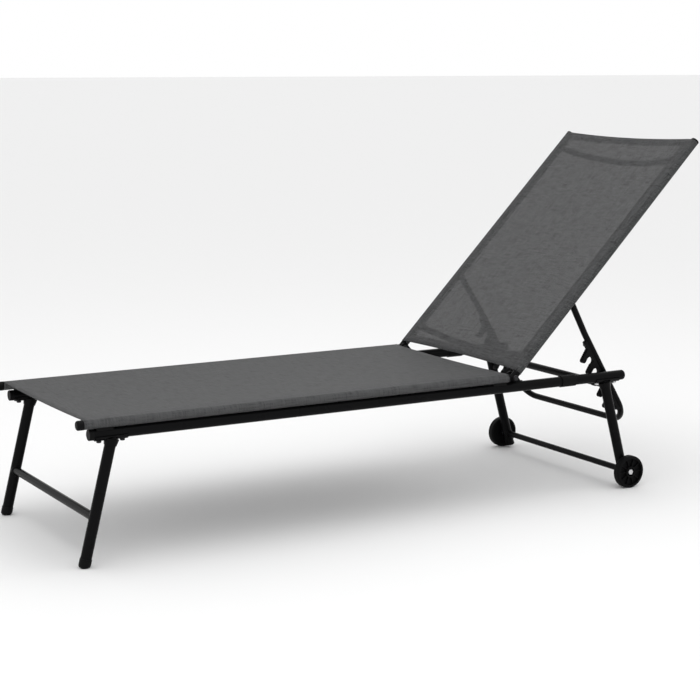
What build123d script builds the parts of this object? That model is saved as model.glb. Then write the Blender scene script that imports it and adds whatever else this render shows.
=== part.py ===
from build123d import *
from math import acos, asin, atan2, cos, degrees, hypot, radians, sin, sqrt
import os

# A reclining sun lounger: a tubular frame on four splayed legs, two of them on wheels, with a taut
# mesh sling for the seat and another for a backrest that a toothed prop holds at six angles.
# X runs from the foot end to the head end, Y across and Z up. Lengths are millimetres. While it is
# being built, X is measured from the foot end of the side rails; the finished part is then moved so
# that its origin is the middle of its footprint on the ground.

os.makedirs("parts", exist_ok=True)

# ---- driving dimensions -------------------------------------------------------------------------
# Side rails and the legs below them
rail_length = 1440.0
rail_diameter = 25.0
rail_wall = 1.5
rail_half_spacing = 254.0
rail_height = 289.0
foot_cap_length = 10.0
head_cap_length = 7.0

# Sling rails, which the mesh sleeves slide over
sling_rail_diameter = 19.0
sling_rail_wall = 1.2
sling_rail_half_spacing = rail_half_spacing + 4.5
seat_start = -12.5
seat_end = rail_length - 360.0
mesh_thickness = 0.8
round_cap_length = 15.0
flat_cap_length = 5.0

# Backrest, measured up its rails from the hinge
hinge_x = seat_end + 17.2
hinge_height = 314.05
back_angle = 45.3
back_rail_start = -5.0
back_rail_end = 783.0
back_mesh_start = 16.0

# Legs
leg_diameter = 25.0
leg_wall = 1.5
front_leg_top_x = 53.0
front_foot_x = -16.6
front_crossbar_height = 107.0
crossbar_diameter = 19.0
rear_leg_top_x = rail_length - 59.0
rear_leg_end_height = 14.0
foot_cap_diameter = 27.0
foot_cap_height = 20.0
foot_cap_rounding = 7.0
saddle_length = 74.0
saddle_thickness = 2.5

# Wheels and axle
wheel_x = rear_leg_top_x + 65.5
wheel_diameter = 83.0
wheel_width = 20.8
axle_diameter = 8.0
axle_tube_diameter = 15.5

# Prop and its toothed racks
prop_pivot_s = 254.4
prop_length = 393.0
prop_diameter = 16.0
prop_wall = 1.2
prop_half_spacing = rail_half_spacing - 24.0
prop_top_half_spacing = rail_half_spacing - 14.6
prop_corner_radius = 65.0
rest_bar_x = rear_leg_top_x + 5.0
rest_bar_height = 268.0
rest_bar_diameter = 18.5
rack_thickness = 11.0
rack_seat_depth = 23.2
rack_reach = 44.0
rack_start = 130.0
rack_end = 346.0
tooth_count = 5
seated_tooth = 3
tooth_pitch = 35.8
tooth_droop = 27.0

# Bowed spreader bars under both slings
spreader_diameter = 16.0
spreader_wall = 1.2
spreader_bow = 40.0
seat_spreader_x = (120.0, seat_end - 120.0)
back_spreader_s = (75.4, 729.4)

# Pads and clearances
pad_start = rear_leg_top_x - 139.0
pad_length = 44.0
pad_thickness = 1.8
weld_gap = 0.1
seat_gap = 0.3
spacer_neck = 1.2
pin_fit = 0.05
bolt_fit = 0.1
tooth_slack = 1.0

# ---- derived places -----------------------------------------------------------------------------
rail_radius = rail_diameter / 2
sling_rail_radius = sling_rail_diameter / 2
sleeve_inner = sling_rail_radius + seat_gap
sleeve_outer = sleeve_inner + mesh_thickness
rail_bottom = rail_height - rail_radius
wheel_radius = wheel_diameter / 2
leg_radius = leg_diameter / 2
rails_apart = rail_radius + spacer_neck + sleeve_outer
rails_offset = sling_rail_half_spacing - rail_half_spacing
sling_rail_height = rail_height + sqrt(rails_apart**2 - rails_offset**2)
sleeve_inner_face = sling_rail_half_spacing - sleeve_outer

# The backrest's own directions: up along its rails, and out of its front face
up_back = Vector(cos(radians(back_angle)), 0, sin(radians(back_angle)))
out_back = Vector(-sin(radians(back_angle)), 0, cos(radians(back_angle)))
hinge = Vector(hinge_x, 0, hinge_height)
back = Plane(origin=hinge, x_dir=up_back, z_dir=out_back)

# The prop hangs from its pivot so that its third tooth sits on the rest bar
pivot = hinge + up_back * prop_pivot_s
rest_bar = Vector(rest_bar_x, 0, rest_bar_height)
to_bar = rest_bar - pivot
seated_t = sqrt(to_bar.length**2 - rack_seat_depth**2)
prop_angle = degrees(atan2(to_bar.Z, to_bar.X) + asin(rack_seat_depth / to_bar.length))
down_prop = Vector(cos(radians(prop_angle)), 0, sin(radians(prop_angle)))

# The part's box along X, from the foot-end caps to the tops of the backrest's rails
sling_cap_start = seat_start - 0.5 - round_cap_length
sling_cap_radius = sleeve_outer + 0.2
back_top = hinge + up_back * (back_rail_end + flat_cap_length)
box_start = sling_cap_start
box_end = back_top.X + sleeve_outer * sin(radians(back_angle))
origin_x = (box_start + box_end) / 2

nodes = {}


def keep(name, *pieces):
    """Record a sub-part made of one or more separate solids."""
    solids = [solid for piece in pieces for solid in piece.solids()]
    nodes[name] = Compound(solids)


def other_side(piece):
    """The same piece on the other side of the lounger's middle."""
    return mirror(piece, about=Plane.XZ)


def pair(name, left):
    """One node with a piece on each side."""
    keep(name, left, other_side(left))


def left_and_right(name, left):
    """Two nodes, one for each side."""
    keep(f"{name}_left", left)
    keep(f"{name}_right", other_side(left))


def rod(start, end, diameter, bore=0.0):
    """A straight round bar between two points, or a tube where a bore is given."""
    start = Vector(*start)
    end = Vector(*end)
    section = Circle(diameter / 2)
    if bore:
        section -= Circle(bore / 2)
    return extrude(Plane(origin=start, z_dir=end - start) * section, (end - start).length)


def along_x(x0, x1, y, z, diameter, bore=0.0):
    """A bar or tube that runs along X."""
    return rod((x0, y, z), (x1, y, z), diameter, bore)


def along_y(x, z, y0, y1, diameter, bore=0.0):
    """A bar or tube that runs across the lounger."""
    return rod((x, y0, z), (x, y1, z), diameter, bore)


def rounded_end(piece, axis, radius, last=True):
    """Round the outer edge of a cap's closed end."""
    face = piece.faces().sort_by(axis)[-1 if last else 0]
    return fillet(face.edges(), radius)


def bolt(seat, direction, head_diameter, head_height, shank_diameter, shank_length):
    """A button-head bolt whose head stands on its seat and whose shank runs along direction."""
    seat = Vector(*seat)
    direction = Vector(*direction)
    head = rod(seat, seat - direction * head_height, head_diameter)
    top = head.faces().filter_by(GeomType.PLANE).sort_by(Axis(seat, direction))[0]
    head = fillet(top.edges(), head_height * 0.45)
    return head + rod(seat, seat + direction * shank_length, shank_diameter)


# ---- side rails ---------------------------------------------------------------------------------
saddle_bolt_inset = 10.0
saddle_bolt_diameter = 6.0
front_saddle_start = 14.0
rear_saddle_start = rear_leg_top_x - 33.0
front_bolts = (front_saddle_start + saddle_bolt_inset, front_saddle_start + saddle_length - saddle_bolt_inset)
rear_bolts = (rear_saddle_start + saddle_bolt_inset, rear_saddle_start + saddle_length - saddle_bolt_inset)
cap_plug_length = 8.0
plug_fit = 0.1
stud_diameter = 5.0
spacer_length = 38.0
foot_spacer_start = 16.0
head_spacer_start = seat_end - 6.0 - spacer_length
stud_places = (foot_spacer_start + spacer_length / 2, head_spacer_start + spacer_length / 2)
bracket_foot_start = hinge_x + 7.0
bracket_foot_length = 24.0
bracket_screw_x = bracket_foot_start + bracket_foot_length / 2
bracket_screw_diameter = 5.0


def left_side_rail():
    """One side rail, with holes for the saddle bolts, the studs and the hinge bracket's screw."""
    y = -rail_half_spacing
    inner = rail_diameter - 2 * rail_wall
    rail = along_x(foot_cap_length, rail_length - head_cap_length, y, rail_height, rail_diameter, inner)
    for x in front_bolts + rear_bolts:
        hole = saddle_bolt_diameter + 2 * bolt_fit
        rail -= rod((x, y, rail_bottom - 5), (x, y, rail_height), hole)
    for x in stud_places:
        rail -= stud(x, stud_diameter + 2 * bolt_fit)
    screw_hole = bracket_screw_diameter + 2 * bolt_fit
    rail -= along_y(bracket_screw_x, rail_height, y, y + 20, screw_hole)
    return rail


def stud(x, diameter):
    """A short stud that joins a side rail's crown to the sling rail above it."""
    low = Vector(x, -rail_half_spacing, rail_height)
    high = Vector(x, -sling_rail_half_spacing, sling_rail_height)
    lean = (high - low).normalized()
    start = low + lean * (rail_radius - rail_wall - 1.0)
    end = high - lean * (sling_rail_radius - sling_rail_wall - 1.0)
    return rod(start, end, diameter)


def rail_cap(tube_end, outer_end, plug_end, rounding):
    """A plastic cap as wide as the rail, with a plug that fits inside it."""
    y = -rail_half_spacing
    cap = along_x(min(tube_end, outer_end), max(tube_end, outer_end), y, rail_height, rail_diameter)
    cap = rounded_end(cap, Axis.X, rounding, last=outer_end > tube_end)
    plug_diameter = rail_diameter - 2 * rail_wall - 2 * plug_fit
    return cap + along_x(min(tube_end, plug_end), max(tube_end, plug_end), y, rail_height, plug_diameter)


left_and_right("side_rail", left_side_rail())
pair("side_rail_foot_caps", rail_cap(foot_cap_length, 0.0, foot_cap_length + cap_plug_length, 1.5))
head_tube_end = rail_length - head_cap_length
pair("side_rail_head_caps", rail_cap(head_tube_end, rail_length, head_tube_end - cap_plug_length, 5.0))

# ---- sling rails for the seat, their caps, spacers and studs ----------------------------------------
spreader_pin_diameter = 6.0
seat_tube_start = sling_cap_start + 4.0
seat_tube_end = seat_end + 0.5


def left_sling_rail(start, end, inner_holes):
    """A rail that a mesh sleeve slides over, at no height, with holes in its inner wall."""
    inner = sling_rail_diameter - 2 * sling_rail_wall
    rail = along_x(start, end, -sling_rail_half_spacing, 0, sling_rail_diameter, inner)
    for x, diameter in inner_holes:
        rail -= along_y(x, 0, -sling_rail_half_spacing, -sling_rail_half_spacing + 20, diameter)
    return rail


def round_sling_cap():
    """A round-ended cap over the foot end of a sling rail."""
    y = -sling_rail_half_spacing
    cap_end = sling_cap_start + round_cap_length
    cap = along_x(sling_cap_start, cap_end, y, 0, 2 * sling_cap_radius)
    cap = rounded_end(cap, Axis.X, 4.5, last=False)
    return cap - along_x(seat_tube_start, cap_end, y, 0, sling_rail_diameter + 2 * plug_fit)


def flat_sling_cap(tube_end):
    """A flat cap with a plug, closing the head end of a sling rail or the top of a back rail."""
    y = -sling_rail_half_spacing
    cap = along_x(tube_end, tube_end + flat_cap_length - 0.5, y, 0, 2 * sleeve_outer)
    cap = rounded_end(cap, Axis.X, 2.0)
    plug_diameter = sling_rail_diameter - 2 * sling_rail_wall - 2 * plug_fit
    return cap + along_x(tube_end - cap_plug_length, tube_end, y, 0, plug_diameter)


def rail_spacer(start):
    """A black saddle block that fills the valley between a side rail and its sling rail."""
    width = 17.0
    middle_y = -(rail_half_spacing + sling_rail_half_spacing) / 2
    low = rail_height + rail_radius - 4.5
    high = sling_rail_height - sling_rail_radius + 3.0
    place = Pos(start + spacer_length / 2, middle_y, (low + high) / 2)
    block = place * Box(spacer_length, width, high - low)
    block -= along_x(start - 1, start + spacer_length + 1, -rail_half_spacing, rail_height,
                     rail_diameter + 2 * weld_gap)
    block -= along_x(start - 1, start + spacer_length + 1, -sling_rail_half_spacing, sling_rail_height,
                     2 * (sleeve_outer + weld_gap))
    return block - stud(start + spacer_length / 2, stud_diameter + 2 * bolt_fit)


to_seat = Pos(0, 0, sling_rail_height)
spreader_hole = spreader_pin_diameter + 2 * bolt_fit
seat_holes = [(x, spreader_hole) for x in seat_spreader_x]
seat_rail = to_seat * left_sling_rail(seat_tube_start, seat_tube_end, seat_holes)
for stud_x in stud_places:
    seat_rail -= stud(stud_x, stud_diameter + 2 * bolt_fit)
left_and_right("seat_rail", seat_rail)
pair("seat_rail_foot_caps", to_seat * round_sling_cap())
pair("seat_rail_head_caps", to_seat * flat_sling_cap(seat_tube_end))
for place, spacer_start in (("foot", foot_spacer_start), ("head", head_spacer_start)):
    pair(f"{place}_rail_spacers", rail_spacer(spacer_start))
studs = [stud(x, stud_diameter) for x in stud_places]
keep("rail_studs", *studs, *[other_side(piece) for piece in studs])


# ---- slings and their bowed spreader bars ---------------------------------------------------------
def sling(start, end, holes):
    """A taut mesh sheet whose two edges are sewn into sleeves round the rails."""
    y = sling_rail_half_spacing
    sheet = Pos((start + end) / 2, 0, sleeve_inner + mesh_thickness / 2)
    cloth = sheet * Box(end - start, 2 * y, mesh_thickness)
    for side in (-y, y):
        cloth -= along_x(start - 1, end + 1, side, 0, 2 * sleeve_inner)
        cloth += along_x(start, end, side, 0, 2 * sleeve_outer, 2 * sleeve_inner)
    for x, diameter in holes:
        cloth -= along_y(x, 0, sleeve_inner_face - 1, sling_rail_half_spacing, diameter)
        cloth -= along_y(x, 0, -sling_rail_half_spacing, -sleeve_inner_face + 1, diameter)
    return cloth


def spreader(x):
    """A tube bowed away from the mesh, cut square to butt against the two sleeves."""
    half_span = sleeve_inner_face - seat_gap
    bow_radius = (half_span**2 + spreader_bow**2) / (2 * spreader_bow)
    half_turn = degrees(asin(half_span / bow_radius)) + 1.5
    across = Plane.YZ.offset(x)
    path = across * CenterArc((0, bow_radius - spreader_bow), bow_radius, 270 - half_turn, 2 * half_turn)
    section = Circle(spreader_diameter / 2) - Circle(spreader_diameter / 2 - spreader_wall)
    tube = sweep(Plane(origin=path @ 0, z_dir=path % 0) * section, path=path)
    return tube & (Pos(x, 0, 0) * Box(40, 2 * half_span, 4 * spreader_bow))


pin_reach = 4.5
pin_collar_diameter = 8.4
pin_collar_length = 3.5


def left_spreader_pin(x):
    """A pin that plugs a spreader's end and reaches through the sleeve into the rail's inner wall."""
    collar_start = -sleeve_inner_face + seat_gap + 3.0
    tip = -sling_rail_half_spacing + sling_rail_radius - pin_reach
    shank = along_y(x, 0, tip, collar_start + 4.0, spreader_pin_diameter)
    return shank + along_y(x, 0, collar_start, collar_start + pin_collar_length, pin_collar_diameter)


cloth_hole = spreader_pin_diameter + 1.0
seat_cloth = to_seat * sling(seat_start, seat_end, [(x, cloth_hole) for x in seat_spreader_x])
for stud_x in stud_places:
    seat_cloth -= stud(stud_x, stud_diameter + 1.0)
    seat_cloth -= other_side(stud(stud_x, stud_diameter + 1.0))
keep("seat_sling", seat_cloth)
for place, x in zip(("front", "rear"), seat_spreader_x):
    keep(f"seat_spreader_{place}", to_seat * spreader(x))
seat_pins = [to_seat * left_spreader_pin(x) for x in seat_spreader_x]
keep("seat_spreader_pins", *seat_pins, *[other_side(piece) for piece in seat_pins])


# ---- legs, saddles, feet and crossbars --------------------------------------------------------------
def rail_envelope(radius):
    """A round bar along the left side rail, for cutting what fits against it."""
    return along_x(-60, rail_length + 60, -rail_half_spacing, rail_height, 2 * radius)


def leg_axis(top_x, bottom_x, bottom_z):
    """The top point of a leg's axis, under the rail, and its direction down."""
    top = Vector(top_x, -rail_half_spacing, rail_bottom)
    bottom = Vector(bottom_x, -rail_half_spacing, bottom_z)
    return top, (bottom - top).normalized()


def leg(top, down, end_height):
    """A leg tube, coped to sit under the saddle on the rail."""
    length = (top.Z - end_height) / -down.Z
    inner = leg_diameter - 2 * leg_wall
    tube = rod(top - down * 20, top + down * length, leg_diameter, inner)
    tube -= rail_envelope(rail_radius + saddle_thickness + 2 * weld_gap)
    return tube.solids().sort_by(Axis.Z)[0]


def collar(top, down, growth=0.0):
    """The flared ring round a leg's top, under the saddle, or a larger copy of it for cutting."""
    drop = 15.0
    narrow = leg_radius + 1.4 + growth
    wide = leg_radius + 4.5 + growth
    base = Plane(origin=top + down * drop, z_dir=-down)
    return base.location * Cone(narrow, wide, drop, align=(Align.CENTER, Align.CENTER, Align.MIN))


def saddle(start, top, down, bolt_places):
    """A curved plate under the rail with a flared collar that holds the leg's top."""
    outer = rail_radius + saddle_thickness
    plate = along_x(start, start + saddle_length, -rail_half_spacing, rail_height, 2 * outer)
    lower_half = Pos(start + saddle_length / 2, -rail_half_spacing, rail_height - outer / 2 - 4)
    plate &= lower_half * Box(saddle_length, 2 * outer + 2, outer)
    piece = plate + collar(top, down)
    bore = leg_diameter + 2 * weld_gap
    below_plate = rod(top - down * 20, top + down * 40, bore) - rail_envelope(outer + weld_gap)
    piece -= below_plate
    piece -= rail_envelope(rail_radius + weld_gap)
    for x in bolt_places:
        hole = saddle_bolt_diameter + 2 * bolt_fit
        piece -= rod((x, -rail_half_spacing, 0), (x, -rail_half_spacing, rail_height), hole)
    return piece.solids().sort_by(SortBy.VOLUME)[-1]


def saddle_bolts(places):
    """Bolts up through a saddle into the rail."""
    seat_z = rail_bottom - saddle_thickness - weld_gap
    return [bolt((x, -rail_half_spacing, seat_z), (0, 0, 1), 11.0, 4.0, saddle_bolt_diameter, 9.0)
            for x in places]


def crossbar(x, z, diameter, bore, leg_tube_axis):
    """A bar between two legs, coped round them."""
    top, down = leg_tube_axis
    bar = along_y(x, z, -rail_half_spacing, rail_half_spacing, diameter, bore)
    cutter = rod(top - down * 60, top + down * 400, leg_diameter + 2 * weld_gap)
    cutter += collar(top, down, weld_gap)
    bar -= cutter
    bar -= other_side(cutter)
    return bar.solids().sort_by(SortBy.VOLUME)[-1]


front_axis = leg_axis(front_leg_top_x, front_foot_x, 0)
rear_axis = leg_axis(rear_leg_top_x, wheel_x, wheel_radius)
front_top, front_down = front_axis
rear_top, rear_down = rear_axis
front_leg_end = 9.0
front_leg = leg(front_top, front_down, front_leg_end)
axle_hole = axle_diameter + 2 * bolt_fit
rear_leg = leg(rear_top, rear_down, rear_leg_end_height)
rear_leg -= along_y(wheel_x, wheel_radius, -rail_half_spacing - 20, -rail_half_spacing + 20, axle_hole)
left_and_right("front_leg", front_leg)
left_and_right("rear_leg", rear_leg)
pair("front_saddles", saddle(front_saddle_start, front_top, front_down, front_bolts))
pair("rear_saddles", saddle(rear_saddle_start, rear_top, rear_down, rear_bolts))
for place, places in (("front", front_bolts), ("rear", rear_bolts)):
    bolts = saddle_bolts(places)
    keep(f"{place}_saddle_bolts", *bolts, *[other_side(piece) for piece in bolts])

crossbar_drop = (front_top.Z - front_crossbar_height) / -front_down.Z
crossbar_x = (front_top + front_down * crossbar_drop).X
tube_bore = crossbar_diameter - 2 * sling_rail_wall
keep("front_crossbar", crossbar(crossbar_x, front_crossbar_height, crossbar_diameter, tube_bore, front_axis))
rest_bar_bore = rest_bar_diameter - 2 * sling_rail_wall
keep("rest_bar", crossbar(rest_bar_x, rest_bar_height, rest_bar_diameter, rest_bar_bore, rear_axis))
axle_bore = axle_diameter + 2.0
keep("axle_tube", crossbar(wheel_x, wheel_radius, axle_tube_diameter, axle_bore, rear_axis))


def front_foot():
    """A rounded plastic cap over a front leg's end, flat where it stands on the ground."""
    length_to_ground = front_top.Z / -front_down.Z
    ground = front_top + front_down * length_to_ground
    cap = rod(ground - front_down * foot_cap_height, ground + front_down * 12, foot_cap_diameter)
    above = Pos(ground.X, ground.Y, 50) * Box(90, 90, 100)
    cap &= above
    cap = fillet(cap.edges().group_by(Axis.Z)[0], foot_cap_rounding)
    leg_end = front_top + front_down * ((front_top.Z - front_leg_end) / -front_down.Z)
    return cap - rod(leg_end, ground - front_down * 60, leg_diameter + 2 * plug_fit)


def rear_foot():
    """A plug with a broad rim in the end of a rear leg, clear of the ground beside the wheel."""
    end = rear_top + rear_down * ((rear_top.Z - rear_leg_end_height) / -rear_down.Z)
    plug_diameter = leg_diameter - 2 * leg_wall - 2 * plug_fit
    rim = rod(end, end + rear_down * 5, leg_diameter + 1.6)
    return rim + rod(end - rear_down * 12, end, plug_diameter)


pair("front_feet", front_foot())
pair("rear_leg_plugs", rear_foot())

# ---- axle and wheels --------------------------------------------------------------------------------
washer_thickness = 1.8
wheel_inner_face = rail_half_spacing + leg_radius + 0.2 + washer_thickness + 0.3
wheel_outer_face = wheel_inner_face + wheel_width
hub_recess = 6.6
nut_height = 6.0
nut_start = wheel_outer_face - hub_recess + 0.3


rib_count = 10
rib_drop = 2.5


def wheel():
    """A moulded wheel with a rounded tread, a recessed web and a hub that turns on the axle."""
    tread_round = 4.5
    rim_thickness = 7.5
    web_thickness = 11.0
    hub_radius = 14.0
    bore_radius = axle_diameter / 2 + pin_fit
    width = wheel_width
    disc = extrude(Circle(wheel_radius), width)
    disc = fillet(disc.edges(), tread_round)
    dish = Circle(wheel_radius - rim_thickness) - Circle(hub_radius)
    disc -= extrude(dish, 3.0)
    disc -= Pos(0, 0, web_thickness + 3.0) * extrude(dish, width)
    rib_height = width - web_thickness - 3.0 - rib_drop
    for turn in range(rib_count):
        rib_middle = (wheel_radius - rim_thickness + hub_radius) / 2
        rib = Pos(rib_middle, 0, web_thickness + 3.0 + rib_height / 2)
        spoke = Box(wheel_radius - rim_thickness - hub_radius + 2, 2.2, rib_height)
        disc += Rot(0, 0, 360 * turn / rib_count) * rib * spoke
    disc -= Pos(0, 0, width - hub_recess) * extrude(Circle(10.5), 2 * hub_recess)
    disc -= extrude(Circle(bore_radius), width)
    out = Plane(origin=(wheel_x, -wheel_inner_face, wheel_radius), x_dir=(1, 0, 0), z_dir=(0, -1, 0))
    return out.location * disc


def cap_nut():
    """A domed hexagon nut on the axle's end."""
    hexagon = extrude(RegularPolygon(6.5, 6, major_radius=False), nut_height)
    bore = Cylinder(axle_diameter / 2 + pin_fit, nut_height - 1.5, align=(Align.CENTER,) * 2 + (Align.MIN,))
    hexagon = fillet(hexagon.faces().sort_by(Axis.Z)[-1].edges(), 1.2) - bore
    out = Plane(origin=(wheel_x, -nut_start, wheel_radius), x_dir=(1, 0, 0), z_dir=(0, -1, 0))
    return out.location * hexagon


axle_end = nut_start + nut_height - 1.8
keep("axle", along_y(wheel_x, wheel_radius, -axle_end, axle_end, axle_diameter))
pair("axle_nuts", cap_nut())
washer_start = rail_half_spacing + leg_radius + 0.2
pair("axle_washers", along_y(wheel_x, wheel_radius, -washer_start - washer_thickness, -washer_start,
                             18.0, axle_hole))
left_and_right("wheel", wheel())

# ---- hinge brackets, washers and bolts -----------------------------------------------------------------
hinge_bolt_diameter = 8.0
hinge_bore = hinge_bolt_diameter + 2 * pin_fit
bracket_thickness = 4.5
bracket_outer = sleeve_inner_face - 0.5
bracket_inner = bracket_outer - bracket_thickness
bracket_shell = 2.0
bracket_eye_radius = 13.0


def hinge_bracket():
    """A cheek that stands on the side rail and leans forward to carry the backrest's hinge bolt."""
    toes = [Vector(bracket_foot_start + 3, rail_height + 9), Vector(bracket_foot_start + 21, rail_height + 9)]
    rounds = [Pos(hinge_x, hinge_height) * Circle(bracket_eye_radius)]
    rounds += [Pos(toe.X, toe.Y) * Circle(3.0) for toe in toes]
    outline = make_hull([edge for ring in rounds for edge in ring.edges()])
    cheek = extrude(Plane.XZ.offset(bracket_inner) * outline, bracket_thickness)
    foot_end = bracket_foot_start + bracket_foot_length
    shell = along_x(bracket_foot_start, foot_end, -rail_half_spacing, rail_height,
                    rail_diameter + 2 * bracket_shell)
    quarter = Pos(bracket_foot_start + bracket_foot_length / 2, -rail_half_spacing + 10, rail_height + 4.5)
    shell &= quarter * Box(bracket_foot_length, 20, 25)
    piece = cheek + shell
    piece -= rail_envelope(rail_radius + weld_gap)
    piece -= along_y(hinge_x, hinge_height, -bracket_outer - 5, -bracket_inner + 5, hinge_bore)
    screw_hole = bracket_screw_diameter + 2 * bolt_fit
    piece -= along_y(bracket_screw_x, rail_height, -rail_half_spacing, -rail_half_spacing + 40, screw_hole)
    return piece.solids().sort_by(SortBy.VOLUME)[-1]


def bracket_screw():
    """The screw that holds a hinge bracket to the inner side of its rail."""
    seat_y = -rail_half_spacing + rail_radius + bracket_shell + weld_gap
    return bolt((bracket_screw_x, seat_y, rail_height), (0, -1, 0), 9.0, 2.6, bracket_screw_diameter, 8.0)


back_rail_inner_face = sling_rail_half_spacing - sling_rail_radius
back_rail_outer_face = sling_rail_half_spacing + sling_rail_radius
hinge_head_height = 4.0
hinge_nut_height = 5.0


def hinge_bolt():
    """The bolt that a back rail turns on, from its head on the bracket to its nut outside the rail."""
    seat = (hinge_x, -bracket_inner + 0.2, hinge_height)
    tip = back_rail_outer_face + 0.2 + hinge_nut_height
    piece = bolt(seat, (0, -1, 0), 14.0, hinge_head_height, hinge_bolt_diameter, tip - bracket_inner + 0.2)
    nut = along_y(hinge_x, hinge_height, -tip, -back_rail_outer_face - 0.2, 13.0)
    return piece + rounded_end(nut, Axis.Y, 1.5, last=False)


pair("hinge_brackets", hinge_bracket())
pair("hinge_bracket_screws", bracket_screw())
pair("hinge_washers", along_y(hinge_x, hinge_height, -back_rail_inner_face + 0.2, -bracket_outer - 0.2,
                              18.0, hinge_bore))
pair("hinge_bolts", hinge_bolt())
pad_diameter = rail_diameter + 2 * pad_thickness
pair("rest_pads", along_x(pad_start, pad_start + pad_length, -rail_half_spacing, rail_height,
                          pad_diameter, rail_diameter + 2 * weld_gap))

# ---- backrest, in its own directions: X up the back, Z out of its front --------------------------------
pivot_bolt_diameter = 8.0
pivot_bore = pivot_bolt_diameter + 2 * pin_fit
back_holes = [(s, spreader_hole) for s in back_spreader_s] + [(prop_pivot_s, pivot_bore)]
to_back = back.location


def hinge_plug():
    """A domed plug that closes a back rail's foot, with the hinge bolt through its stem."""
    y = -sling_rail_half_spacing
    stem_diameter = sling_rail_diameter - 2 * sling_rail_wall - 2 * plug_fit
    dome = along_x(-20.0, back_rail_start, y, 0, sling_rail_diameter)
    dome &= Pos(0, y, 0) * Sphere(hinge_end_radius)
    plug = dome + along_x(back_rail_start, back_rail_start + 16.0, y, 0, stem_diameter)
    return plug - along_y(0, 0, y - 20, y + 20, hinge_bolt_diameter + 2 * seat_gap)


hinge_end_radius = hypot(sling_rail_radius, back_rail_start)
back_rail = left_sling_rail(back_rail_start, back_rail_end, back_holes)
back_rail -= along_y(0, 0, -sling_rail_half_spacing - 20, -sling_rail_half_spacing + 20, hinge_bore)
left_and_right("back_rail", to_back * back_rail)
pair("back_hinge_plugs", to_back * hinge_plug())
pair("back_rail_caps", to_back * flat_sling_cap(back_rail_end))
back_cloth_holes = [(s, cloth_hole) for s in back_spreader_s] + [(prop_pivot_s, pivot_bolt_diameter + 1.0)]
keep("back_sling", to_back * sling(back_mesh_start, back_rail_end - 0.5, back_cloth_holes))
for place, s in zip(("bottom", "top"), back_spreader_s):
    keep(f"back_spreader_{place}", to_back * spreader(s))
back_pins = [to_back * left_spreader_pin(s) for s in back_spreader_s]
keep("back_spreader_pins", *back_pins, *[other_side(piece) for piece in back_pins])

# ---- prop: a bent tube whose legs carry the toothed racks ------------------------------------------------
prop_plane = Plane(origin=pivot, x_dir=(0, 1, 0), z_dir=Vector(0, 1, 0).cross(down_prop))
prop_side = Plane(origin=pivot, x_dir=down_prop, z_dir=(0, 1, 0))
prop_tail = 5.0
joggle = (12.0, 112.0)
joggle_radius = 120.0
prop_bore = prop_diameter - 2 * prop_wall


def prop_screw_places():
    """Where each rack is screwed to its leg, as distances down the prop from its pivot."""
    return rack_start + 8.0, rack_end - 8.0


def prop_path():
    """The middle line of the prop's tube: a U whose two ends joggle outwards to the back rails."""
    top = prop_top_half_spacing
    low = prop_half_spacing
    start, end = joggle
    route = [(-top, -prop_tail), (-top, start), (-low, end), (-low, prop_length),
             (low, prop_length), (low, end), (top, start), (top, -prop_tail)]
    joggles = [joggle_radius, joggle_radius]
    bends = joggles + [prop_corner_radius, prop_corner_radius] + joggles
    return prop_plane * FilletPolyline(*route, radius=bends)


def prop_frame():
    """The prop's bent tube, drilled for its pivots and for the racks' screws."""
    path = prop_path()
    section = Circle(prop_diameter / 2) - Circle(prop_bore / 2)
    tube = sweep(Plane(origin=path @ 0, z_dir=path % 0) * section, path=path)
    for side in (-1, 1):
        y = side * prop_top_half_spacing
        tube -= along_y(pivot.X, pivot.Z, y - 20, y + 20, pivot_bore)
        for t in prop_screw_places():
            tube -= rack_screw_hole(t, side)
    return tube


def rack_screw_hole(t, side):
    """The hole for a rack's screw in the front wall of a prop leg."""
    spot = pivot + down_prop * t + Vector(0, side * prop_half_spacing, 0)
    return rod(spot, spot + prop_side.y_dir * prop_diameter, rack_screw_diameter + 2 * bolt_fit)


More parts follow.
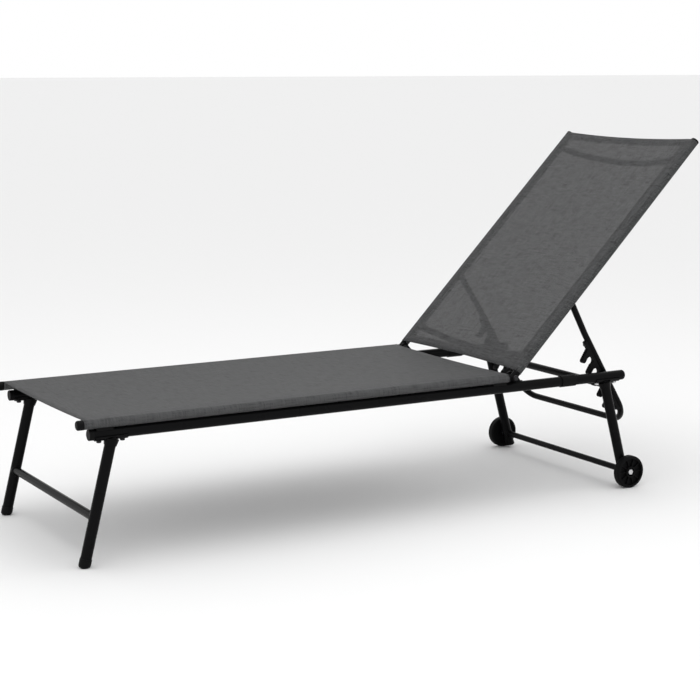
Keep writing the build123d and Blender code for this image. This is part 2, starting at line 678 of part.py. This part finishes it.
def rack():
    """A moulded strip of five hooks with rounded pockets, which the rest bar drops into one at a time."""
    bar_radius = rest_bar_diameter / 2
    droop = radians(tooth_droop)
    run = Vector(sin(droop), cos(droop))
    aside = Vector(cos(droop), -sin(droop))
    above = bar_radius + seat_gap
    below = bar_radius + tooth_slack
    hook_thickness = tooth_pitch * cos(droop) - above - below
    shallow = rack_seat_depth - bar_radius - seat_gap
    bars = [Vector(seated_t + (tooth - seated_tooth) * tooth_pitch, rack_seat_depth)
            for tooth in range(1, tooth_count + 1)]
    spine = Pos((rack_start + rack_end) / 2, shallow / 2 + 1) * Rectangle(rack_end - rack_start, shallow - 2)
    outline = fillet(spine.vertices(), 3.0)
    web_start = bars[0].X - (above + hook_thickness) / cos(droop)
    web_end = bars[-1].X
    web_middle = Pos((web_start + web_end) / 2, (shallow + rack_seat_depth) / 2)
    outline += web_middle * Rectangle(web_end - web_start, rack_seat_depth - shallow + 2)
    for bar in bars:
        root = bar - aside * (above + hook_thickness / 2)
        tip = root + run * ((rack_reach - hook_thickness / 2 - root.Y) / run.Y)
        base = root + run * ((shallow - 4 - root.Y) / run.Y)
        middle = (tip + base) * 0.5
        hook = SlotCenterToCenter((tip - base).length, hook_thickness)
        outline += Pos(middle.X, middle.Y) * Rot(0, 0, 90 - tooth_droop) * hook
    pocket_width = above + below
    for bar in bars:
        start = bar + aside * (tooth_slack - seat_gap) / 2
        middle = start + run * pocket_run / 2
        pocket = SlotCenterToCenter(pocket_run, pocket_width)
        outline -= Pos(middle.X, middle.Y) * Rot(0, 0, 90 - tooth_droop) * pocket
        bulb = start + aside * pocket_bulb
        outline -= Pos(bulb.X, bulb.Y) * Circle(pocket_width / 2 + pocket_bulb)
    strip = extrude(prop_side * outline, rack_thickness / 2, both=True)
    strip = Pos(0, -prop_half_spacing, 0) * strip
    path = prop_path()
    strip -= sweep(Plane(origin=path @ 0, z_dir=path % 0) * Circle(prop_diameter / 2 + weld_gap), path=path)
    for t in prop_screw_places():
        strip -= rack_screw_hole(t, -1)
    return strip.solids().sort_by(SortBy.VOLUME)[-1]


rack_screw_diameter = 5.0
pocket_run = 60.0
pocket_bulb = 1.0


def rack_screws():
    """The two screws that hold a rack to its leg."""
    spine_front = rack_seat_depth - rest_bar_diameter / 2 - seat_gap
    seats = [pivot + down_prop * t + Vector(0, -prop_half_spacing, 0) for t in prop_screw_places()]
    out = prop_side.y_dir
    return [bolt(seat + out * spine_front, -out, 9.0, 3.0, rack_screw_diameter, 8.0) for seat in seats]


def pivot_bolt():
    """The bolt a prop leg turns on, its head inside the leg and its end clinched in the back rail."""
    head_y = -prop_top_half_spacing + prop_diameter / 2 + 0.2
    clinch = -sling_rail_half_spacing + sling_rail_radius - 3.8
    tip = clinch - 2.0
    piece = bolt((pivot.X, head_y, pivot.Z), (0, -1, 0), 14.0, 4.5, pivot_bolt_diameter, head_y - tip)
    return piece + along_y(pivot.X, pivot.Z, tip, clinch, 11.0)


def prop_end_plug():
    """A domed plug that closes the upper end of a prop leg, with the pivot bolt through its stem."""
    middle = pivot - Vector(0, prop_top_half_spacing, 0)
    end = middle - down_prop * prop_tail
    dome = rod(end, end - down_prop * prop_diameter, prop_diameter)
    dome &= Pos(middle.X, middle.Y, middle.Z) * Sphere(hypot(prop_diameter / 2, prop_tail))
    plug = dome + rod(end, end + down_prop * 14, prop_bore - 2 * plug_fit)
    return plug - along_y(pivot.X, pivot.Z, middle.Y - 20, middle.Y + 20, pivot_bolt_diameter + 2 * seat_gap)


keep("prop_frame", prop_frame())
left_and_right("prop_rack", rack())
screws = rack_screws()
keep("prop_rack_screws", *screws, *[other_side(piece) for piece in screws])
pair("prop_end_plugs", prop_end_plug())
pair("prop_pivot_bolts", pivot_bolt())

# ---- export ------------------------------------------------------------------------------------------
for name, shape in nodes.items():
    export_step(Pos(-origin_x, 0, 0) * shape, f"parts/{name}.step")

print("nodes", len(nodes), "origin shift", round(origin_x, 3))
for label, point in (("hinge", hinge), ("pivot", pivot), ("rest bar", rest_bar),
                     ("wheel", Vector(wheel_x, 0, wheel_radius))):
    print(label, round(point.X - origin_x, 3), round(point.Z, 3))
print("prop angle", round(prop_angle, 3), "seated t", round(seated_t, 3))
for tooth in range(1, tooth_count + 1):
    reach = hypot(seated_t + (tooth - seated_tooth) * tooth_pitch, rack_seat_depth)
    arm = (pivot - hinge).length
    span = (rest_bar - hinge).length
    to_pivot = pivot - hinge
    to_bar = rest_bar - hinge
    between = degrees(atan2(to_pivot.Z, to_pivot.X) - atan2(to_bar.Z, to_bar.X))
    swing = degrees(acos((arm**2 + span**2 - reach**2) / (2 * arm * span)))
    print("tooth", tooth, "back angle", round(back_angle + swing - between, 2))
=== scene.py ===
from math import acos, atan2, cos, pi, radians, sin, sqrt

import bmesh
import bpy
from mathutils import Euler, Matrix, Vector


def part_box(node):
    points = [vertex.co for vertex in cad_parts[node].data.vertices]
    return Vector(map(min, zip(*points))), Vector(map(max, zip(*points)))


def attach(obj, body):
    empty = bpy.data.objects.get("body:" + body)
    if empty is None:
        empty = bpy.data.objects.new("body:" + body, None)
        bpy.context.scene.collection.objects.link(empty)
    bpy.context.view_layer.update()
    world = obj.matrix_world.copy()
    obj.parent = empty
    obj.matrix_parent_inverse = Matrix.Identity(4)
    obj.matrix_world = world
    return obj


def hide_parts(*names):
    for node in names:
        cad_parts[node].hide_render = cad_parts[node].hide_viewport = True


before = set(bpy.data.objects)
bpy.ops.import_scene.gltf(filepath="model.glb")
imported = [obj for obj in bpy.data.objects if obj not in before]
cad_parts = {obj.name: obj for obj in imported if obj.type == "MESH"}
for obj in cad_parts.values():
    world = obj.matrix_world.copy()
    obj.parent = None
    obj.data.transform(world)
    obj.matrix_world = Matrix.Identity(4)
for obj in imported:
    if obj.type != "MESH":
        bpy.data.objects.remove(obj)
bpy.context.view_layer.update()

# ---- Side rails and sling rails ---------------------------------------------------------------
# Round steel tube in two sizes, bent or cut to length, deburred and powder coated satin black.
# The coat flows into a very fine orange-peel texture that softens every highlight.
POWDER_BLACK = (0.0030, 0.0030, 0.0033, 1.0)
POWDER_ROUGHNESS = 0.28
POWDER_SHINE = 0.06
PEEL_PER_METRE = 1400.0
PEEL_HEIGHT = 0.00009


def new_material(name):
    """An empty principled material, with its tree, its shader and its object coordinates."""
    material = bpy.data.materials.new(name)
    material.use_nodes = True
    tree = material.node_tree
    shader = tree.nodes["Principled BSDF"]
    place = tree.nodes.new("ShaderNodeTexCoord").outputs["Object"]
    return material, tree, shader, place


def add_noise(tree, place, scale, detail=2.0):
    """A noise pattern at a scale given per metre."""
    noise = tree.nodes.new("ShaderNodeTexNoise")
    noise.inputs["Scale"].default_value = scale
    noise.inputs["Detail"].default_value = detail
    tree.links.new(place, noise.inputs["Vector"])
    return noise.outputs["Fac"]


def add_range(tree, value, low, high):
    """The value, which runs from 0 to 1, remapped to run from low to high."""
    remap = tree.nodes.new("ShaderNodeMapRange")
    remap.inputs["To Min"].default_value = low
    remap.inputs["To Max"].default_value = high
    tree.links.new(value, remap.inputs["Value"])
    return remap.outputs["Result"]


def add_bump(tree, shader, height, distance, strength=1.0):
    """A bump on the shader from a height pattern, its depth given in metres."""
    bump = tree.nodes.new("ShaderNodeBump")
    bump.inputs["Distance"].default_value = distance
    bump.inputs["Strength"].default_value = strength
    tree.links.new(height, bump.inputs["Height"])
    tree.links.new(bump.outputs["Normal"], shader.inputs["Normal"])


def paint(material, *names):
    """Give CAD nodes this material."""
    for name in names:
        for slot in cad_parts[name].material_slots:
            slot.material = material


def powder_coat():
    """Satin black powder coat on steel tube."""
    material, tree, shader, place = new_material("satin black powder coat")
    shader.inputs["Base Color"].default_value = POWDER_BLACK
    shader.inputs["Specular IOR Level"].default_value = POWDER_SHINE
    patches = add_noise(tree, place, 9.0, 3.0)
    roughness = add_range(tree, patches, POWDER_ROUGHNESS - 0.06, POWDER_ROUGHNESS + 0.06)
    tree.links.new(roughness, shader.inputs["Roughness"])
    add_bump(tree, shader, add_noise(tree, place, PEEL_PER_METRE), PEEL_HEIGHT, 0.5)
    return material


black_coat = powder_coat()
paint(black_coat, "side_rail_left", "side_rail_right", "seat_rail_left", "seat_rail_right")

# ---- End caps, spacers, feet and pads ---------------------------------------------------------
# Injection-moulded polypropylene in matt black, with the fine spark-eroded grain of its mould.
# Caps press into or over the tube ends; spacers and pads snap over the side rails.
PLASTIC_BLACK = (0.0024, 0.0024, 0.0026, 1.0)
PLASTIC_SHINE = 0.09
GRAIN_PER_METRE = 2600.0
GRAIN_HEIGHT = 0.00007


def moulded_plastic(name, colour, roughness):
    """Matt moulded plastic with a fine grain."""
    material, tree, shader, place = new_material(name)
    shader.inputs["Base Color"].default_value = colour
    shader.inputs["Specular IOR Level"].default_value = PLASTIC_SHINE
    wear = add_noise(tree, place, 35.0, 4.0)
    tree.links.new(add_range(tree, wear, roughness - 0.07, roughness + 0.09), shader.inputs["Roughness"])
    add_bump(tree, shader, add_noise(tree, place, GRAIN_PER_METRE, 1.0), GRAIN_HEIGHT, 0.6)
    return material


black_plastic = moulded_plastic("matt black moulded plastic", PLASTIC_BLACK, 0.52)
paint(black_plastic, "side_rail_foot_caps", "side_rail_head_caps", "seat_rail_foot_caps",
      "seat_rail_head_caps", "foot_rail_spacers", "head_rail_spacers", "front_feet",
      "rear_leg_plugs", "rest_pads", "back_hinge_plugs", "back_rail_caps", "prop_end_plugs")

# ---- Legs, saddles and crossbars --------------------------------------------------------------
# Coped steel tube welded to pressed saddles, which bolt up under the side rails; crossbars are
# welded between the legs. All of it is coated with the rails after welding.
paint(black_coat, "front_leg_left", "front_leg_right", "rear_leg_left", "rear_leg_right",
      "front_saddles", "rear_saddles", "front_crossbar", "rest_bar", "axle_tube")

WELD_RADIUS = 0.0021
WELD_RIPPLE = 0.00035
WELD_RIPPLE_COUNT = 26
LEG_RADIUS = 0.0125
FRONT_LEG_SLOPE = atan2(0.0696, 0.2765)
REAR_LEG_SLOPE = atan2(-0.0655, 0.235)


def finish_piece(bm, name, material, body, smooth=True):
    """A mesh object from a finished bmesh, with its material, riding on its body."""
    bmesh.ops.recalc_face_normals(bm, faces=bm.faces)
    for face in bm.faces:
        face.smooth = smooth
    mesh = bpy.data.meshes.new(name)
    bm.to_mesh(mesh)
    bm.free()
    piece = bpy.data.objects.new(name, mesh)
    bpy.context.scene.collection.objects.link(piece)
    mesh.materials.append(material)
    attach(piece, body)
    return piece


def node_middle(name):
    """The middle of a CAD node's box at rest."""
    low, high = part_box(name)
    return (Vector(low) + Vector(high)) / 2


def weld_ring(middle, radius):
    """A plain ring of weld round a bar that lies across the lounger."""
    bead = bmesh.new()
    start = Matrix.Translation(middle + Vector((0, 0, radius + WELD_RADIUS * 0.4)))
    circle = bmesh.ops.create_circle(bead, cap_ends=False, radius=WELD_RADIUS, segments=8,
                                     matrix=start @ Matrix.Rotation(pi / 2, 4, "Y"))
    edges = {edge for vert in circle["verts"] for edge in vert.link_edges}
    bmesh.ops.spin(bead, geom=list(circle["verts"]) + list(edges), cent=middle, axis=(0, 1, 0),
                   angle=2 * pi, steps=56, use_merge=True)
    bmesh.ops.remove_doubles(bead, verts=bead.verts, dist=1e-6)
    return bead


def weld_bar(name, bar, leg_slope):
    """Rippled beads of weld where both ends of a bar meet the round inner faces of two legs."""
    low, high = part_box(bar)
    middle = node_middle(bar)
    radius = (high[2] - low[2]) / 2
    leg_middle = abs(node_middle("front_leg_left").y)
    bm = bmesh.new()
    for side in (-1, 1):
        bead = weld_ring(Vector((middle.x, 0, middle.z)), radius)
        for vert in bead.verts:
            along = vert.co.z - middle.z
            across = vert.co.x - middle.x
            offset = across * cos(leg_slope) - along * sin(leg_slope)
            depth = sqrt(max(LEG_RADIUS**2 - offset**2, 0.0))
            ripple = WELD_RIPPLE * sin(atan2(across, along) * WELD_RIPPLE_COUNT)
            vert.co.y += side * (leg_middle - depth - WELD_RADIUS * 0.3)
            vert.co += Vector((across, 0, along)).normalized() * ripple
        mesh = bpy.data.meshes.new("bead")
        bead.to_mesh(mesh)
        bead.free()
        bm.from_mesh(mesh)
        bpy.data.meshes.remove(mesh)
    return finish_piece(bm, name, black_coat, "frame")


weld_bar("front_crossbar_welds", "front_crossbar", FRONT_LEG_SLOPE)
weld_bar("axle_tube_welds", "axle_tube", REAR_LEG_SLOPE)

# ---- Bolts, screws and nuts -------------------------------------------------------------------
# Cold-headed steel. The rear saddle bolts, the axle and its nuts are bright zinc plated, and the
# rest are blackened. The plating is slightly scuffed where a key or spanner has turned on it.
ZINC = (0.60, 0.60, 0.61, 1.0)
BOLT_BLACK = (0.018, 0.018, 0.02, 1.0)


def plated_steel(name, colour, metallic, roughness):
    """Turned or cold-headed steel with a plated or blackened finish."""
    material, tree, shader, place = new_material(name)
    shader.inputs["Base Color"].default_value = colour
    shader.inputs["Metallic"].default_value = metallic
    scuffs = add_noise(tree, place, 220.0, 3.0)
    tree.links.new(add_range(tree, scuffs, roughness - 0.08, roughness + 0.1), shader.inputs["Roughness"])
    add_bump(tree, shader, scuffs, 0.00006, 0.4)
    return material


bright_zinc = plated_steel("bright zinc plate", ZINC, 1.0, 0.28)
black_steel = plated_steel("blackened steel", BOLT_BLACK, 0.6, 0.38)
paint(bright_zinc, "rear_saddle_bolts", "axle", "axle_nuts", "axle_washers",
      "hinge_bracket_screws", "rail_studs")
paint(black_steel, "front_saddle_bolts", "seat_spreader_pins", "back_spreader_pins",
      "prop_pivot_bolts", "prop_rack_screws", "hinge_bolts")

# ---- Wheels -----------------------------------------------------------------------------------
# One-piece moulded wheels in hard matt black plastic with a rounded tread, a recessed web and a
# counterbored hub. They turn on the zinc-plated axle and are held by its cap nuts.
WHEEL_BLACK = (0.0018, 0.0018, 0.0020, 1.0)
wheel_plastic = moulded_plastic("matt black wheel plastic", WHEEL_BLACK, 0.6)
paint(wheel_plastic, "wheel_left", "wheel_right")

# ---- Hinges and prop --------------------------------------------------------------------------
# Pressed steel brackets, coated black, carry the backrest's hinge bolts. The prop is one bent tube
# in the same coat, and a moulded rack of five hooks is screwed to each of its legs.
paint(black_coat, "hinge_brackets", "back_rail_left", "back_rail_right", "prop_frame")
paint(black_plastic, "hinge_washers", "prop_rack_left", "prop_rack_right")

# ---- Spreader bars ----------------------------------------------------------------------------
# Bowed tubes that push the rails apart and keep the slings tight. They are coated black and show
# faintly through the mesh above them.
paint(black_coat, "seat_spreader_front", "seat_spreader_rear",
      "back_spreader_bottom", "back_spreader_top")

# ---- Slings -----------------------------------------------------------------------------------
# Woven mesh of vinyl-coated polyester yarn in mid grey. Each sling is cut flat, and its two long
# edges are folded round the rails and sewn back to the underside. The seat's weave is closer.
CLOTH_THICKNESS = 0.00035
YARN_PITCH = 0.0019
TWILL_REPEAT = 0.0062
SLING_RAIL_Y = 0.2585
SLEEVE_RADIUS = 0.0103
SEAM_OUT = 0.0115
SEAM_ALLOWANCE = 0.012
STITCH_INSET = 0.004
STITCH_PITCH = 0.0042
CLOTH_LAYER_GAP = 0.00062
STITCH_ROW_GAP = 0.006
STITCH_HALF_WIDTH = 0.0005
STITCH_SHOWN_SHARE = 0.72
THREAD_BLACK = (0.012, 0.012, 0.013, 1.0)
TWILL_SHARE = 0.45
STREAK_SHARE = 1.5
STREAK_MIDDLE = 0.62
STREAKS_ALONG_YARN = 25.0
STREAKS_ACROSS_YARN = 260.0
MESH_ROUGHNESS = 0.62
MESH_SHINE = 0.2
MESH_RELIEF = 0.00022
MESH_DARK = (0.013, 0.0131, 0.0135, 1.0)
MESH_LIGHT = (0.068, 0.0686, 0.0700, 1.0)
BACK_CLEAR_SHARE = 0.62
SEAT_CLEAR_SHARE = 0.15
# The hem's yarn colours are darker than the sling's: painted shade on the doubled hem under each free
# end.
HEM_SHADED_DARK = (0.010, 0.0101, 0.0105, 1.0)
HEM_SHADED_LIGHT = (0.045, 0.0454, 0.0462, 1.0)
HEM_CLEAR_SHARE = 0.2
HEM_WIDTH = 0.024
SLING_DROP = 0.003
BACK_END_HOLLOW = 0.006
BACK_ANGLE = radians(45.3)
BACK_MESH_START = 0.016
BACK_MESH_END = 0.7825


def sleeve_sizes():
    """The angle the cloth wraps round a rail, and its straight run from there to the seam."""
    seam_height = SLEEVE_RADIUS - CLOTH_LAYER_GAP
    reach = sqrt(SEAM_OUT**2 + seam_height**2)
    straight = sqrt(reach**2 - SLEEVE_RADIUS**2)
    lean = atan2(seam_height, -SEAM_OUT) + acos(SLEEVE_RADIUS / reach)
    return 2 * pi - lean + pi / 2, straight


WRAP_ANGLE, STRAIGHT_RUN = sleeve_sizes()
WRAP_LENGTH = WRAP_ANGLE * SLEEVE_RADIUS
CUT_HALF_WIDTH = SLING_RAIL_Y + WRAP_LENGTH + STRAIGHT_RUN + SEAM_ALLOWANCE


def fold_edge(across):
    """Where a point of the flat cloth goes: its distance across, and its height over the rails."""
    side = 1 if across >= 0 else -1
    past = abs(across) - SLING_RAIL_Y
    if past <= 0:
        return across, SLEEVE_RADIUS
    if past <= WRAP_LENGTH:
        turn = past / SLEEVE_RADIUS
        return side * (SLING_RAIL_Y + SLEEVE_RADIUS * sin(turn)), SLEEVE_RADIUS * cos(turn)
    leave_y = SLEEVE_RADIUS * sin(WRAP_ANGLE)
    leave_z = SLEEVE_RADIUS * cos(WRAP_ANGLE)
    seam_z = SLEEVE_RADIUS - CLOTH_LAYER_GAP
    past -= WRAP_LENGTH
    if past <= STRAIGHT_RUN:
        share = past / STRAIGHT_RUN
        y = leave_y + (-SEAM_OUT - leave_y) * share
        return side * (SLING_RAIL_Y + y), leave_z + (seam_z - leave_z) * share
    return side * (SLING_RAIL_Y - SEAM_OUT - (past - STRAIGHT_RUN)), seam_z


def add_math(tree, operation, first, second=None, clamp=False):
    """A math node on values or sockets."""
    node = tree.nodes.new("ShaderNodeMath")
    node.operation = operation
    node.use_clamp = clamp
    for socket, value in zip(node.inputs, (first, second)):
        if value is None:
            continue
        if isinstance(value, (int, float)):
            socket.default_value = value
        else:
            tree.links.new(value, socket)
    return node.outputs[0]


def add_mix(tree, factor, first, second):
    """A colour between two, by a factor."""
    mix = tree.nodes.new("ShaderNodeMix")
    mix.data_type = "RGBA"
    tree.links.new(factor, mix.inputs["Factor"])
    for socket, value in ((mix.inputs[6], first), (mix.inputs[7], second)):
        if isinstance(value, tuple):
            socket.default_value = value
        else:
            tree.links.new(value, socket)
    return mix.outputs[2]


def add_streaks(tree, cut, along_scale, across_scale):
    """Noise drawn out along the yarns, from the uneven thickness of each one."""
    stretch = tree.nodes.new("ShaderNodeMapping")
    stretch.inputs["Scale"].default_value = (along_scale, across_scale, 1.0)
    tree.links.new(cut, stretch.inputs["Vector"])
    return add_noise(tree, stretch.outputs["Vector"], 1.0, 2.0)


def woven_mesh(name, dark_yarn, light_yarn, clear_share, seams):
    """Coated yarn in a twill weave, part clear between the yarns, with a sling's rows of stitches."""
    material, tree, shader, _ = new_material(name)
    cut = tree.nodes.new("ShaderNodeUVMap").outputs["UV"]
    split = tree.nodes.new("ShaderNodeSeparateXYZ")
    tree.links.new(cut, split.inputs["Vector"])
    along, across = split.outputs["X"], split.outputs["Y"]
    turn = pi / YARN_PITCH
    warp = add_math(tree, "ABSOLUTE", add_math(tree, "SINE", add_math(tree, "MULTIPLY", across, turn)))
    weft = add_math(tree, "ABSOLUTE", add_math(tree, "SINE", add_math(tree, "MULTIPLY", along, turn)))
    diagonal = add_math(tree, "MULTIPLY", add_math(tree, "ADD", along, across), 2 * pi / TWILL_REPEAT)
    over = add_range(tree, add_math(tree, "SINE", diagonal), 0.5, 1.0)
    warp_height = add_math(tree, "MULTIPLY", warp, add_range(tree, over, 0.65, 1.0))
    weft_height = add_math(tree, "MULTIPLY", weft, add_range(tree, over, 1.0, 0.65))
    height = add_math(tree, "MAXIMUM", warp_height, weft_height)
    streaks = add_math(tree, "ADD", add_streaks(tree, cut, STREAKS_ALONG_YARN, STREAKS_ACROSS_YARN),
                       add_streaks(tree, cut, STREAKS_ACROSS_YARN, STREAKS_ALONG_YARN))
    uneven = add_math(tree, "MULTIPLY", add_math(tree, "SUBTRACT", streaks, STREAK_MIDDLE), STREAK_SHARE)
    tone = add_math(tree, "ADD", add_math(tree, "MULTIPLY", over, TWILL_SHARE), uneven, True)
    colour = add_mix(tree, tone, dark_yarn, light_yarn)
    if seams:
        colour = add_mix(tree, stitch_rows(tree, along, across), colour, THREAD_BLACK)
    tree.links.new(colour, shader.inputs["Base Color"])
    shader.inputs["Roughness"].default_value = MESH_ROUGHNESS
    shader.inputs["Specular IOR Level"].default_value = MESH_SHINE
    add_bump(tree, shader, height, MESH_RELIEF, 0.7)
    gap = add_math(tree, "SUBTRACT", 1.0, height, True)
    clear = tree.nodes.new("ShaderNodeBsdfTransparent")
    mixed = tree.nodes.new("ShaderNodeMixShader")
    tree.links.new(add_math(tree, "MULTIPLY", gap, clear_share, True), mixed.inputs["Fac"])
    tree.links.new(shader.outputs["BSDF"], mixed.inputs[1])
    tree.links.new(clear.outputs["BSDF"], mixed.inputs[2])
    tree.links.new(mixed.outputs["Shader"], tree.nodes["Material Output"].inputs["Surface"])
    return material


def stitch_rows(tree, along, across):
    """Two rows of lockstitch beside each sleeve, as a mask."""
    seam_line = SLING_RAIL_Y - SEAM_OUT - STITCH_INSET
    aside = add_math(tree, "ABSOLUTE", across)
    rows = []
    for inset in (0.0, STITCH_ROW_GAP):
        off_line = add_math(tree, "ABSOLUTE", add_math(tree, "SUBTRACT", aside, seam_line - inset))
        rows.append(add_math(tree, "LESS_THAN", off_line, STITCH_HALF_WIDTH))
    dash = add_math(tree, "FRACT", add_math(tree, "DIVIDE", along, STITCH_PITCH))
    shown = add_math(tree, "LESS_THAN", dash, STITCH_SHOWN_SHARE)
    return add_math(tree, "MULTIPLY", add_math(tree, "MAXIMUM", rows[0], rows[1]), shown)


seat_mesh = woven_mesh("grey seat mesh", MESH_DARK, MESH_LIGHT, SEAT_CLEAR_SHARE, True)
back_mesh = woven_mesh("grey back mesh", MESH_DARK, MESH_LIGHT, BACK_CLEAR_SHARE, True)
# The hem cloth is the sling's mesh made darker: painted shade along each free end.
hem_mesh_painted_shade = woven_mesh("doubled grey mesh with painted shade", HEM_SHADED_DARK, HEM_SHADED_LIGHT, HEM_CLEAR_SHARE, False)


def cut_cloth(length, half_width, rows, columns):
    """A flat piece of cloth with its own pattern coordinates in metres, lying along X from zero."""
    bm = bmesh.new()
    bmesh.ops.create_grid(bm, x_segments=rows, y_segments=columns, size=0.5)
    bmesh.ops.translate(bm, vec=(0.5, 0, 0), verts=bm.verts)
    bmesh.ops.scale(bm, vec=(length, 2 * half_width, 1), verts=bm.verts)
    pattern = bm.loops.layers.uv.new("cut")
    for face in bm.faces:
        for loop in face.loops:
            loop[pattern].uv = (loop.vert.co.x, loop.vert.co.y)
    return bm


def hang_cloth(bm, start, length, drop, hollow, layer, seat):
    """Fold flat cloth round its rails. The free ends curve in by hollow, and the middle dips by drop."""
    for vert in bm.verts:
        along, across = vert.co.x, vert.co.y
        y, z = fold_edge(across)
        middle = max(0.0, 1 - (y / (SLING_RAIL_Y - SEAM_OUT)) ** 2)
        if abs(across) > SLING_RAIL_Y:
            middle = 0.0
        end_pull = (2 * along / length - 1) ** 3
        x = start + along - end_pull * hollow * middle
        vert.co = seat @ Vector((x, y, z - drop * middle - layer))


def thicken(piece, thickness):
    """Give cloth its thickness."""
    wall = piece.modifiers.new("thickness", "SOLIDIFY")
    wall.thickness = thickness
    wall.offset = 0.0


def make_sling(name, node, body, mesh, seat, start, end, drop, hollow):
    """A sling with its sleeves, and the folded hem under each free end, its cloth darker as painted
    shade.
    """
    length = end - start
    bm = cut_cloth(length, CUT_HALF_WIDTH, 60, 260)
    hang_cloth(bm, start, length, drop, hollow, 0.0, seat)
    cloth = finish_piece(bm, name, mesh, body)
    thicken(cloth, CLOTH_THICKNESS)
    for place, shift in (("lower", 0.0), ("upper", length - HEM_WIDTH)):
        bm = cut_cloth(HEM_WIDTH, SLING_RAIL_Y - SEAM_OUT - SEAM_ALLOWANCE, 4, 96)
        for vert in bm.verts:
            vert.co.x += shift
        hang_cloth(bm, start, length, drop, hollow, CLOTH_LAYER_GAP, seat)
        hem = finish_piece(bm, f"{name}_{place}_hem", hem_mesh_painted_shade, body)
        thicken(hem, CLOTH_THICKNESS)
    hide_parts(node)
    return cloth


seat_low, seat_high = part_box("seat_sling")
seat_rail_middle = node_middle("seat_rail_left")
seat_place = Matrix.Translation((0, 0, seat_rail_middle.z))
make_sling("seat_cloth", "seat_sling", "frame", seat_mesh, seat_place,
           seat_low[0], seat_high[0], SLING_DROP, 0.0)
hinge_middle = node_middle("hinge_bolts")
hinge_place = Matrix.Translation((hinge_middle.x, 0, hinge_middle.z))
back_place = hinge_place @ Matrix.Rotation(-BACK_ANGLE, 4, "Y")
make_sling("back_cloth", "back_sling", "backrest", back_mesh, back_place,
           BACK_MESH_START, BACK_MESH_END, SLING_DROP, BACK_END_HOLLOW)

# ---- Floor, light and camera ------------------------------------------------------------------
# A plain pale sweep under even studio light: one large overhead softbox, a broad one from the
# foot end for the highlights along the tubes, and a bright surround.
FLOOR_GREY = (0.86, 0.86, 0.86, 1.0)
FLOOR_HALF_SIZE = 120.0
SURROUND_WHITE = (1.0, 1.0, 1.0, 1.0)
CAMERA_PLACE = (-2.1115, -3.608, 1.067)
CAMERA_DIP = radians(9.502)
CAMERA_YAW = radians(-30.015)
CAMERA_LENS = 88.1
floor_bm = bmesh.new()
bmesh.ops.create_grid(floor_bm, x_segments=1, y_segments=1, size=FLOOR_HALF_SIZE)
floor_mesh = bpy.data.meshes.new("floor")
floor_bm.to_mesh(floor_mesh)
floor_bm.free()
floor = bpy.data.objects.new("floor", floor_mesh)
bpy.context.scene.collection.objects.link(floor)
floor_paint, _, floor_shader, _ = new_material("pale floor")
floor_shader.inputs["Base Color"].default_value = FLOOR_GREY
floor_shader.inputs["Roughness"].default_value = 0.9
floor_mesh.materials.append(floor_paint)

surround = bpy.data.worlds.new("studio surround")
surround.use_nodes = True
surround.node_tree.nodes["Background"].inputs["Color"].default_value = SURROUND_WHITE
surround.node_tree.nodes["Background"].inputs["Strength"].default_value = 1.0
bpy.context.scene.world = surround


def softbox(name, place, aim, width, depth, power):
    """A rectangular area light that points at a spot."""
    light = bpy.data.lights.new(name, "AREA")
    light.shape = "RECTANGLE"
    light.size = width
    light.size_y = depth
    light.energy = power
    lamp = bpy.data.objects.new(name, light)
    lamp.location = place
    lamp.rotation_euler = (Vector(aim) - Vector(place)).to_track_quat("-Z", "Y").to_euler()
    bpy.context.scene.collection.objects.link(lamp)


softbox("overhead softbox", (0.2, -0.4, 3.2), (0.0, 0.0, 0.3), 3.2, 2.6, 26.0)
softbox("foot end softbox", (-3.2, -2.6, 2.2), (0.1, 0.0, 0.3), 2.2, 1.6, 12.0)

lens = bpy.data.cameras.new("camera")
lens.lens = CAMERA_LENS
lens.sensor_width = 36.0
camera = bpy.data.objects.new("camera", lens)
camera.location = CAMERA_PLACE
camera.rotation_euler = Euler((pi / 2 - CAMERA_DIP, 0, CAMERA_YAW))
bpy.context.scene.collection.objects.link(camera)
bpy.context.scene.camera = camera
bpy.context.scene.view_settings.view_transform = "Standard"
